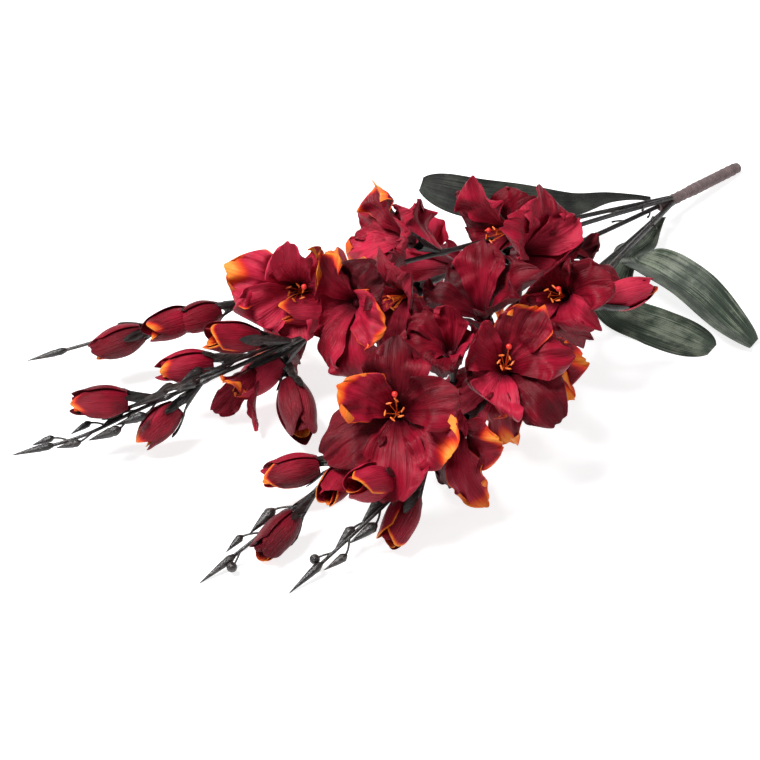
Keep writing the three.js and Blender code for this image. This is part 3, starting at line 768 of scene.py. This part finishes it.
def furled_petal(flower, length, radius, layer, k, turn, flame):
    """Petal k of a bud, wound round the axis from its free edge over its layer's angle. The
    share v runs up it and u from the free edge to the tucked one. Its rim is as high as half a
    sine of u, and its lip turns out a little at the top."""

    def draw(c):
        return chance(53 * flower["index"] + 11 * k + c)

    v = (1 - (1 - np.linspace(0, 1, FURL_GRID[0])) ** 1.4)[:, None]
    u = np.linspace(0, 1, FURL_GRID[1])[None]
    arch = np.sin(np.pi * np.clip(u * 1.05, 0, 1))
    rim = layer["rim"] - 0.1 * draw(7)
    y = v * rim * (0.72 + 0.28 * arch + 0.02 * np.sin(9 * u + 6 * draw(1)))
    angle = turn + layer["span"] * u + 8 * (draw(2) - 0.5)
    free, tucked = layer["wide"]
    close = CLOSING.get(flower["name"], CLOSED) - layer["slack"]
    share = barrel(y, close) * (free + (tucked - free) * u)
    lip = (0.04 + 0.16 * draw(8)) * smoothstep(v, 0.8, 1) * arch
    crease = 0.025 * np.sin(11 * u + 6 * draw(3) + 2 * v) * smoothstep(v, 0, 0.5)
    points = round_axis(flower, angle, radius * (share + lip + crease), length * y)
    if flame == "t":
        uneven = 0.06 * np.sin(6 * u + 6 * draw(4))
        glow = smoothstep(v + uneven, *GLOW["tip"]) * smoothstep(arch, *GLOW["middle"])
    elif flame == "r":
        to_rim = np.maximum(v, 1 - 1.6 * u)
        glow = smoothstep(to_rim, *GLOW["rim"]) * smoothstep(v, *GLOW["rim_root"])
    else:
        glow = 0 * v * u
    uv = np.stack(np.broadcast_arrays(1.2 * u + 9 * draw(5), v), axis=-1)
    # Painted shade at the foot of the bud, where it sits deep in the calyx.
    deep = 0.35 * (1 - smoothstep(v, 0, 0.4))
    # Random tone, plus painted light and shade for the flower.
    tone = 2 * draw(6) - 1 + LIGHT_AND_SHADE_BY_FLOWER.get(flower["name"], 0)
    return sheet(points, CLOTH, uv, orange=glow, deep=deep, tone=tone)


def furled(flower, length, radius):
    """Three outer petals and two inner ones round a floret's axis, each layer evenly spaced."""
    parts = []
    for layer, flames in ((OUTER_FURL, flower["flames"]), (INNER_FURL, INNER_FLAMES)):
        for k in range(layer["petals"]):
            turn = flower["roll"] + 360 / layer["petals"] * k + layer["turn"]
            parts.append(furled_petal(flower, length, radius, layer, len(parts), turn, flames[k]))
    return parts


# %% [markdown]
# ## Stems
# A spike's stem, its stalks and its calyces are one moulding. The stem thickens from tip to
# handle and swells where a floret leaves it. A calyx is a cup of pointed lobes that hug the
# flower: a surface of turning whose rim rises and falls, out to the rim and back down inside.

# %% Calyces
# The lobes of the calyx of a bud, which are long, and of an open flower.
LOBES = {"bud": {"count": 3, "height": 0.95}, "open": {"count": 4, "height": 0.35}}
CUP = {"height": 0.74, "ridges": 5, "ridge": 0.1, "wall": 0.5, "hug": 0.34}
CALYX_GRID = (16, 54)


def calyx(flower):
    """A cup round a floret's foot. Its rim height is the cup's, more at each lobe by the fourth
    power of a cosine, and most on one side. Its radius grows to the mouth by a power, and then
    follows the flower. Ridges run up it, by the size of a sine of the angle."""
    index, size, kind = flower["index"], flower["size"], flower["kind"]
    lobes = LOBES.get(kind, LOBES["open"])
    turn = np.linspace(0, 360, CALYX_GRID[1], endpoint=False)[None]
    wave = np.abs(np.cos(np.radians(turn * lobes["count"] / 2 + 90 * chance(7 * index + 1))))
    lobe = wave**4 * (0.66 + 0.34 * np.cos(np.radians(turn) - index))
    long = CALYX["length"] * size
    v = np.linspace(0.02, 1, CALYX_GRID[0])[:, None]
    height = v * long * (CUP["height"] + lobes["height"] * lobe)
    grown = (np.minimum(height, long) / long) ** 1.2
    cone = CALYX["foot"] + (CALYX["mouth"] * size - CALYX["foot"]) * grown
    over_mouth = np.maximum(height - long, 0)
    if kind == "bud":
        share = over_mouth / (BUD["length"] * size)
        above = 1.1 * BUD["radius"] * size * barrel(share, CUP["hug"])
        outer = np.where(height > long, np.maximum(cone, above + 0.6), cone)
    else:
        outer = cone + 0.3 * over_mouth
    ridges = np.abs(np.sin(np.radians(turn * CUP["ridges"]) + index)) - 0.5
    outer = outer * (1 + CUP["ridge"] * ridges * v) + CUP["wall"] / 2
    inner = np.maximum(outer - CUP["wall"], 0.2)
    rings = np.concatenate([outer, inner[::-1]])
    heights = np.concatenate([height, height[::-1]]) - long
    points = round_axis(flower, turn, rings, heights)
    first = flower["root"] - flower["axis"]
    last = round_axis(flower, 0.0, 0.0, np.min(heights) + 1.5)
    return pod(points, first, last)


# %% [markdown]
# The closed buds are teardrops of overlapping scales: a round shoulder, a long point, and two
# ridges that wind round as the scales' edges. They sit on short bowed stalks on alternate sides.

# %% Closed buds and stems
TIP_BUD = {"length": 34, "radius": 3.1}
SIDE_BUD = {"stout": 0.16, "tilt": 0.25, "fork": 12}
SEED_BALL = 3.8
STALK = 0.8
STEM = {"tip": 1.4, "handle": 2.1, "knot": 0.9}


def teardrop(foot, way, length, radius, bend):
    """A closed bud: radius by a quick sine to the shoulder and a power down to the point, with
    two ridges that wind half a turn, round an axis that bows aside by the square."""
    y = np.linspace(0.03, 1, 22)[:, None]
    turn = np.linspace(0, 2 * np.pi, 16, endpoint=False)[None]
    shoulder = 0.2
    wide = np.where(
        y < shoulder,
        np.sin(np.pi / 2 * np.minimum(y / shoulder, 1)) ** 0.7,
        (1 - np.maximum(y - shoulder, 0) / (1 - shoulder)) ** 0.8 + 0.02,
    )
    winding = np.mod(turn + 2.4 * y, np.pi) / np.pi
    rings = radius * wide * (0.9 + 0.16 * (1 - winding) ** 2)
    side, over = sideways(way)
    line = foot + way * length * y + bend * y**2
    ring = side * np.cos(turn)[..., None] + over * np.sin(turn)[..., None]
    return pod(line[:, None] + rings[..., None] * ring, foot, line[-1] + way * 0.3)


def stalk(spike, back, offset):
    """A short bowed stalk off the stem, the point where it ends, and the way out there."""
    way = growth(spike, back)
    out = unit(np.array((-way[1], way[0], SIDE_BUD["tilt"] * np.sin(back)))) * np.sign(offset)
    u = np.linspace(0, 1, 9)[:, None]
    start = back_on(spike, back + SIDE_BUD["fork"])
    elbow = back_on(spike, back + SIDE_BUD["fork"] / 2) + out * 0.8 * abs(offset)
    seat = back_on(spike, back) + out * abs(offset)
    line = (1 - u) ** 2 * start + 2 * u * (1 - u) * elbow + u * u * seat
    return rod(line, STALK * (1 + 0.4 * np.abs(2 * u[:, 0] - 1) ** 3), 8), seat, out


def closed_bud(spike, back, offset, length):
    """A closed bud on its stalk, leaning a little back to the stem."""
    held, seat, out = stalk(spike, back, offset)
    lean = unit(growth(spike, back) - 0.12 * out)
    return [held, teardrop(seat - 2 * lean, lean, length, SIDE_BUD["stout"] * length, -1.2 * out)]


def seed_ball(spike, back, offset):
    """A round seed on a stalk, with a small dimple at its end."""
    held, seat, out = stalk(spike, back, offset)
    polar = np.radians(np.linspace(8, 172, 15))
    line = seat - out * SEED_BALL * np.cos(polar)[:, None]
    return [held, rod(line, SEED_BALL * np.sin(polar), 16)]


def stem_rod(spike):
    """The stem itself: it thins towards the tip, and swells by a bell curve at each floret."""
    route = routes[spike]
    length = route[1][-1]
    run = np.linspace(0, length - 0.6 * TIP_BUD["length"], 260)
    back = length - run
    radius = STEM["tip"] + (STEM["handle"] - STEM["tip"]) * smoothstep(back, 20, 420)
    for flower in florets.values():
        if flower["spike"] == spike:
            radius = radius + STEM["knot"] * np.exp(-(((back - flower["back"]) / 4) ** 2))
    turn = np.linspace(0, 2 * np.pi, 12, endpoint=False)
    ribbed = radius[:, None] * (1 + 0.06 * np.cos(4 * turn + 0.01 * run[:, None]))
    return rod(along(route, run), ribbed, 12)


def stem(spike):
    """All the plastic of a spike."""
    tip_foot = back_on(spike, TIP_BUD["length"])
    tip_way = growth(spike, TIP_BUD["length"] / 2)
    parts = [stem_rod(spike)]
    parts.append(teardrop(tip_foot, tip_way, TIP_BUD["length"], TIP_BUD["radius"], np.zeros(3)))
    parts += [calyx(flower) for flower in florets.values() if flower["spike"] == spike]
    for row in CLOSED_BUDS[spike]:
        parts += closed_bud(spike, *row)
    parts += [stalk(spike, *row)[0] for row in BARE_STALKS[spike]]
    if spike in SEED_BALLS:
        parts += seed_ball(spike, *SEED_BALLS[spike])
    return parts


for spike in SPIKES:
    make_object(f"spike_{spike}", f"stem_{spike}", "stem_plastic", stem(spike))
print("spikes:", [(piece.name, len(piece.data.polygons)) for piece in made])

# %% [markdown]
# ## The handle
# The five stems are bound by tape that winds from the cut end to where they part. Each turn
# lies half over the last, so the radius steps down at each edge and climbs to the next.

# %% Tape winding
HANDLE = {"back": (363, 21, 4.5), "front": (243, 9.4, 19.4)}
HANDLE_OUTLINE = ((0, 4.3), (2, 4.6), (10, 5), (70, 5.2), (84, 4.5), (108, 4.8), (121, 3.6))
TAPE = {"pitch": 8.5, "step": 0.5, "pucker": 0.12}


def handle():
    """The wound handle: radius by distance from the cut end, plus a step that falls from one
    tape edge to the next along the spiral, plus small puckers across the tape."""
    back, front = np.array(HANDLE["back"]), np.array(HANDLE["front"])
    run = np.linspace(0, HANDLE_OUTLINE[-1][0], 400)
    radius = np.interp(run, *np.array(HANDLE_OUTLINE).T)
    radius = np.convolve(np.pad(radius, 12, mode="edge"), np.ones(25) / 25, mode="valid")
    turn = np.linspace(0, 2 * np.pi, 40, endpoint=False)
    wound = run[:, None] / TAPE["pitch"] + turn / (2 * np.pi)
    slack = TAPE["step"] * (1 - np.mod(wound, 1)) ** 2 * (0.7 + 0.3 * np.sin(7 * wound))
    pucker = TAPE["pucker"] * np.sin(23 * turn + 3 * np.sin(5 * wound)) * np.sin(2.1 * run[:, None])
    ends = np.minimum(smoothstep(run, -0.6, 1.6), 1)
    wide = (radius[:, None] + slack + pucker) * ends[:, None]
    way = unit(front - back)
    return [rod(back + way * run[:, None], wide, 40)]


make_object("handle_winding", "handle", "handle_tape", handle())

# %% [markdown]
# ## Leaves
# A leaf follows a curve and swells from its stalk. Its two halves stand up from the midrib in a
# soft V, its veins run along it as shallow furrows, and its rim waves a little. The low leaf
# opens flat where it lies on the table.

# %% Leaves
LEAF = {"stalk": 0.12, "blunt": 0.9, "thick": 0.7, "veins": 7, "furrow": 0.16, "ripple": 0.9}
LEAF_GRID = (90, 37)
# Each leaf: its path, half its width, the place where it is widest, its tilt round the path,
# the fold of its halves and where they lie flat, its whitish film of dust and painted sheen, and
# its dark dye.
LEAVES = {
    "high": {
        "path": [
            (242, 19, 23), (230, 25, 27), (201, 33, 35), (160, 38, 43), (118, 58, 52), (81, 85, 60),
            (58, 117, 67),
        ],
        "width": 19, "widest": 0.75, "tilt": -30, "fold": 0.2, "flat_from": 2,
        "dust": 0.22, "dark": 0.95,
    },
    "side": {
        "path": [
            (242, 3, 12), (204, -16, 11), (168, -31, 20), (160, -64, 29), (164, -100, 24),
            (169, -136, 11), (175, -160, 2),
        ],
        "width": 23, "widest": 0.6, "tilt": 0, "fold": 0.5, "flat_from": 2,
        "dust": 0.9, "dark": 0,
    },
    "low": {
        "path": [
            (242, 11, 8), (208, -6, 9), (165, -21, 11), (131, -42, 10), (124, -65, 4),
            (135, -92, 0), (148, -141, 0),
        ],
        "width": 25, "widest": 0.8, "tilt": 0, "fold": 0.2, "flat_from": 0.62,
        "dust": 1, "dark": 0,
    },
}


def leaf(name):
    """A leaf as a sheet: half width by a smooth swell from the stalk and a blunt tip, the halves
    raised by the fold times a rounded distance from the midrib, with cosine furrows for veins
    and a sine ripple that grows to the rim by the square."""
    row = LEAVES[name]
    route = spline(row["path"])
    s = np.linspace(0, 1, LEAF_GRID[0])[:, None]
    t = np.linspace(-1, 1, LEAF_GRID[1])[None]
    run = s[:, 0] * route[1][-1]
    level, upward = sideways(heading(route, run))
    tilt = np.radians(row["tilt"])
    side = level * np.cos(tilt) + upward * np.sin(tilt)
    over = upward * np.cos(tilt) - level * np.sin(tilt)
    swell = LEAF["stalk"] + (1 - LEAF["stalk"]) * smoothstep(s, 0, row["widest"])
    past = np.maximum(s - row["widest"], 0) / (1 - row["widest"])
    wide = row["width"] * swell * np.sqrt(1 - LEAF["blunt"] * past**2.6)
    reach = wide * t
    fold = row["fold"] * (1 - smoothstep(s, row["flat_from"] - 0.2, row["flat_from"]))
    raised = fold * (np.sqrt(reach**2 + 1) - 1)
    veins = LEAF["furrow"] * np.cos(2 * np.pi * LEAF["veins"] * t) * swell
    edge = LEAF["ripple"] * np.sin(14 * s + 3 * t + ord(name[0])) * t**2 * swell
    points = along(route, run)[:, None] + side[:, None] * reach[..., None]
    points = points + over[:, None] * (raised + veins + edge)[..., None]
    points[..., 2] = np.maximum(points[..., 2], FLOOR_GAP)
    uv = np.stack(np.broadcast_arrays(0.5 + 0.5 * t + ord(name[0]), s), axis=-1)
    return [sheet(points, LEAF["thick"], uv, dust=row["dust"], dark=row["dark"])]


for name in LEAVES:
    make_object(f"cloth_leaf_{name}", f"leaf_{name}", "leaf_fabric", leaf(name))

# %% [markdown]
# ## Flowers
# Now the blooms are put together: six petals on a small cone that closes the throat. A flower
# that has only half opened has its three outer petals round a furled middle.

# %% Blooms, half-open flowers and buds
HEART = ((5.6, 0), (5.0, 2), (3.4, 5), (1.2, 7.4))


def heart(flower):
    """The small cone in a bloom's throat, turned from radius and height pairs."""
    radius, height = np.array(HEART).T * flower["size"]
    turn = np.linspace(0, 360, 24, endpoint=False)[None]
    points = round_axis(flower, turn, radius[:, None], height[:, None] + 0.35)
    first = round_axis(flower, 0.0, 0.0, 0.35)
    last = round_axis(flower, 0.0, 0.0, 8 * flower["size"])
    # The whole cone takes the throat's dark colour as painted shade.
    return pod(points, first, last, deep=1.0)


def bloom(flower):
    """Six petals round the cone in the throat, outer and inner ones by turns."""
    return [heart(flower)] + [petal(flower, j) for j in range(6)]


def half_open(flower):
    """The three outer petals round a small furled middle."""
    size = flower["size"]
    middle = furled(flower, HALF_HEART["length"] * size, HALF_HEART["radius"] * size)
    return middle + [petal(flower, j) for j in (0, 2, 4)]


def bud(flower):
    """A furled bud at its floret's size."""
    return furled(flower, BUD["length"] * flower["size"], BUD["radius"] * flower["size"])


MAKERS = {"bloom": bloom, "half": half_open, "bud": bud}
for name, flower in florets.items():
    kind = flower["kind"]
    parts = MAKERS[kind](flower)
    make_object(f"flower_{name}", f"{kind}_{name}", "petal_fabric", parts)
print("flowers made:", len(florets))

# %% [markdown]
# ## Stamens
# The style ends in a round red stigma. Thin orange threads stand round it and end in little
# bent anthers.

# %% Stamens
STAMEN = {"base": 1.9, "foot": 3, "length": 22, "splay": 0.3}
STYLE = {"radius": 0.5, "longer": 1.2, "stigma": 2.1}
THREADS = 6
THREAD = {"radius": 0.34, "anther": 2.3, "thick": 0.75}


def bowed(start, axis, out, length, bow):
    """A line that leaves a point along an axis and leans out evenly, bowed by half a sine."""
    u = np.linspace(0, 1, 12)[:, None]
    lean = STAMEN["splay"] * (u + bow * np.sin(np.pi * u))
    return start + length * (axis * u + out * lean)


def stamens(flower):
    """A style with a round stigma, and threads with anthers, on a small foot. The threads stand
    evenly round the axis, each turned on and lengthened by its own draw."""
    axis, size, roll = flower["axis"], flower["size"], flower["roll"]
    seat = flower["mouth"] + axis * (8 * size + 0.7)
    u = np.linspace(0, 1, 6)[:, None]
    foot = seat + axis * STAMEN["foot"] * u
    parts = [rod(foot, STAMEN["base"] * (1 - 0.3 * u[:, 0]), 12, stigma=0.3)]
    long = STAMEN["length"] * size
    style = bowed(seat + axis, axis, out_from(flower, roll), STYLE["longer"] * long, 0.1)
    parts.append(rod(style, STYLE["radius"], 8, stigma=0.6))
    polar = np.radians(np.linspace(6, 174, 13))
    ball = style[-1] - axis * STYLE["stigma"] * np.cos(polar)[:, None]
    rounding = np.sin(polar) * (1 + 0.04 * np.cos(9 * polar))
    parts.append(rod(ball, STYLE["stigma"] * rounding, 14, stigma=1.0))
    for k in range(THREADS):
        draw = chance(flower["index"] * 13 + k)
        out = out_from(flower, roll + 360 / THREADS * (k + 0.5) + 30 * draw)
        line = bowed(seat + axis, axis, out, long * (0.6 + 0.3 * draw), 0.1 * draw)
        parts.append(rod(line, THREAD["radius"], 6, stigma=0.0))
        bar = unit(np.cross(axis, out) + 0.6 * out)
        w = np.linspace(-1, 1, 9)[:, None]
        anther = line[-1] + bar * THREAD["anther"] * w + axis * 0.5 * w**2
        parts.append(rod(anther, THREAD["thick"] * np.sqrt(1.02 - w[:, 0] ** 2), 8, stigma=0.0))
    return parts


for name in WITH_STAMENS:
    parts = stamens(florets[name])
    make_object(f"threads_{name}", f"stamens_{name}", "stamen_plastic", parts)
print("triangles:", sum(2 * len(piece.data.polygons) for piece in made))

# %% [markdown]
# ## Floor, light and camera
# The photograph is a plain studio view: pale ground, broad soft light from above. The camera
# looks down on the bunch from its side.

# %% Floor
FLOOR = {"reach": 6.0, "glow": 0.78}


def plain_floor():
    """A wide flat floor of pale matt card, lit a little from below like a light table."""
    mesh = bpy.data.meshes.new("floor")
    reach = FLOOR["reach"]
    corners = [(-reach, -reach, 0), (reach, -reach, 0), (reach, reach, 0), (-reach, reach, 0)]
    mesh.from_pydata(corners, [], [(0, 1, 2, 3)])
    floor = bpy.data.objects.new("floor", mesh)
    bpy.context.scene.collection.objects.link(floor)
    r = Recipe("pale_card", Specular_IOR_Level=0.1, Roughness=0.9)
    r.shader.inputs["Base Color"].default_value = paint(200, 200, 200)
    r.shader.inputs["Emission Color"].default_value = paint(255, 255, 255)
    r.shader.inputs["Emission Strength"].default_value = FLOOR["glow"]
    mesh.materials.append(r.material)


plain_floor()

# %% [markdown]
# A large lamp above on the left gives the petals their form, a weaker one from the right opens
# the shadows, and the white surroundings light the rest.

# %% Light
def area_lamp(name, place, aim, size, watts):
    """A square lamp at a place, facing its aim."""
    lamp = bpy.data.lights.new(name, "AREA")
    lamp.size = size
    lamp.energy = watts
    holder = bpy.data.objects.new(name, lamp)
    holder.location = place
    holder.rotation_mode = "QUATERNION"
    holder.rotation_quaternion = (Vector(aim) - Vector(place)).to_track_quat("-Z", "Y")
    bpy.context.scene.collection.objects.link(holder)


area_lamp("key", (-0.9, 0.5, 1.9), (0, 0, 0.05), 0.8, 74)
area_lamp("fill", (1.0, -1.5, 1.2), (0, 0, 0.05), 1.2, 6)
world = bpy.data.worlds.new("studio")
world.use_nodes = True
world.node_tree.nodes["Background"].inputs["Color"].default_value = (1, 1, 1, 1)
world.node_tree.nodes["Background"].inputs["Strength"].default_value = 0.2
bpy.context.scene.world = world
bpy.context.scene.view_settings.view_transform = "Standard"

# %% Camera
CAMERA = {
    "target": (-0.1158, -0.0315, 0.042),
    "azimuth": -40,
    "elevation": 40,
    "distance": 1.363,
    "lens": 85,
}


def place_camera():
    """The camera looks at its target from an azimuth and elevation at a distance."""
    azimuth, elevation = np.radians(CAMERA["azimuth"]), np.radians(CAMERA["elevation"])
    level = np.cos(elevation)
    back = Vector((np.sin(azimuth) * level, -np.cos(azimuth) * level, np.sin(elevation)))
    data = bpy.data.cameras.new("camera")
    data.lens = CAMERA["lens"]
    data.sensor_width = 36
    camera = bpy.data.objects.new("camera", data)
    camera.location = Vector(CAMERA["target"]) + back * CAMERA["distance"]
    camera.rotation_mode = "QUATERNION"
    camera.rotation_quaternion = (-back).to_track_quat("-Z", "Y")
    bpy.context.scene.collection.objects.link(camera)
    bpy.context.scene.camera = camera


place_camera()
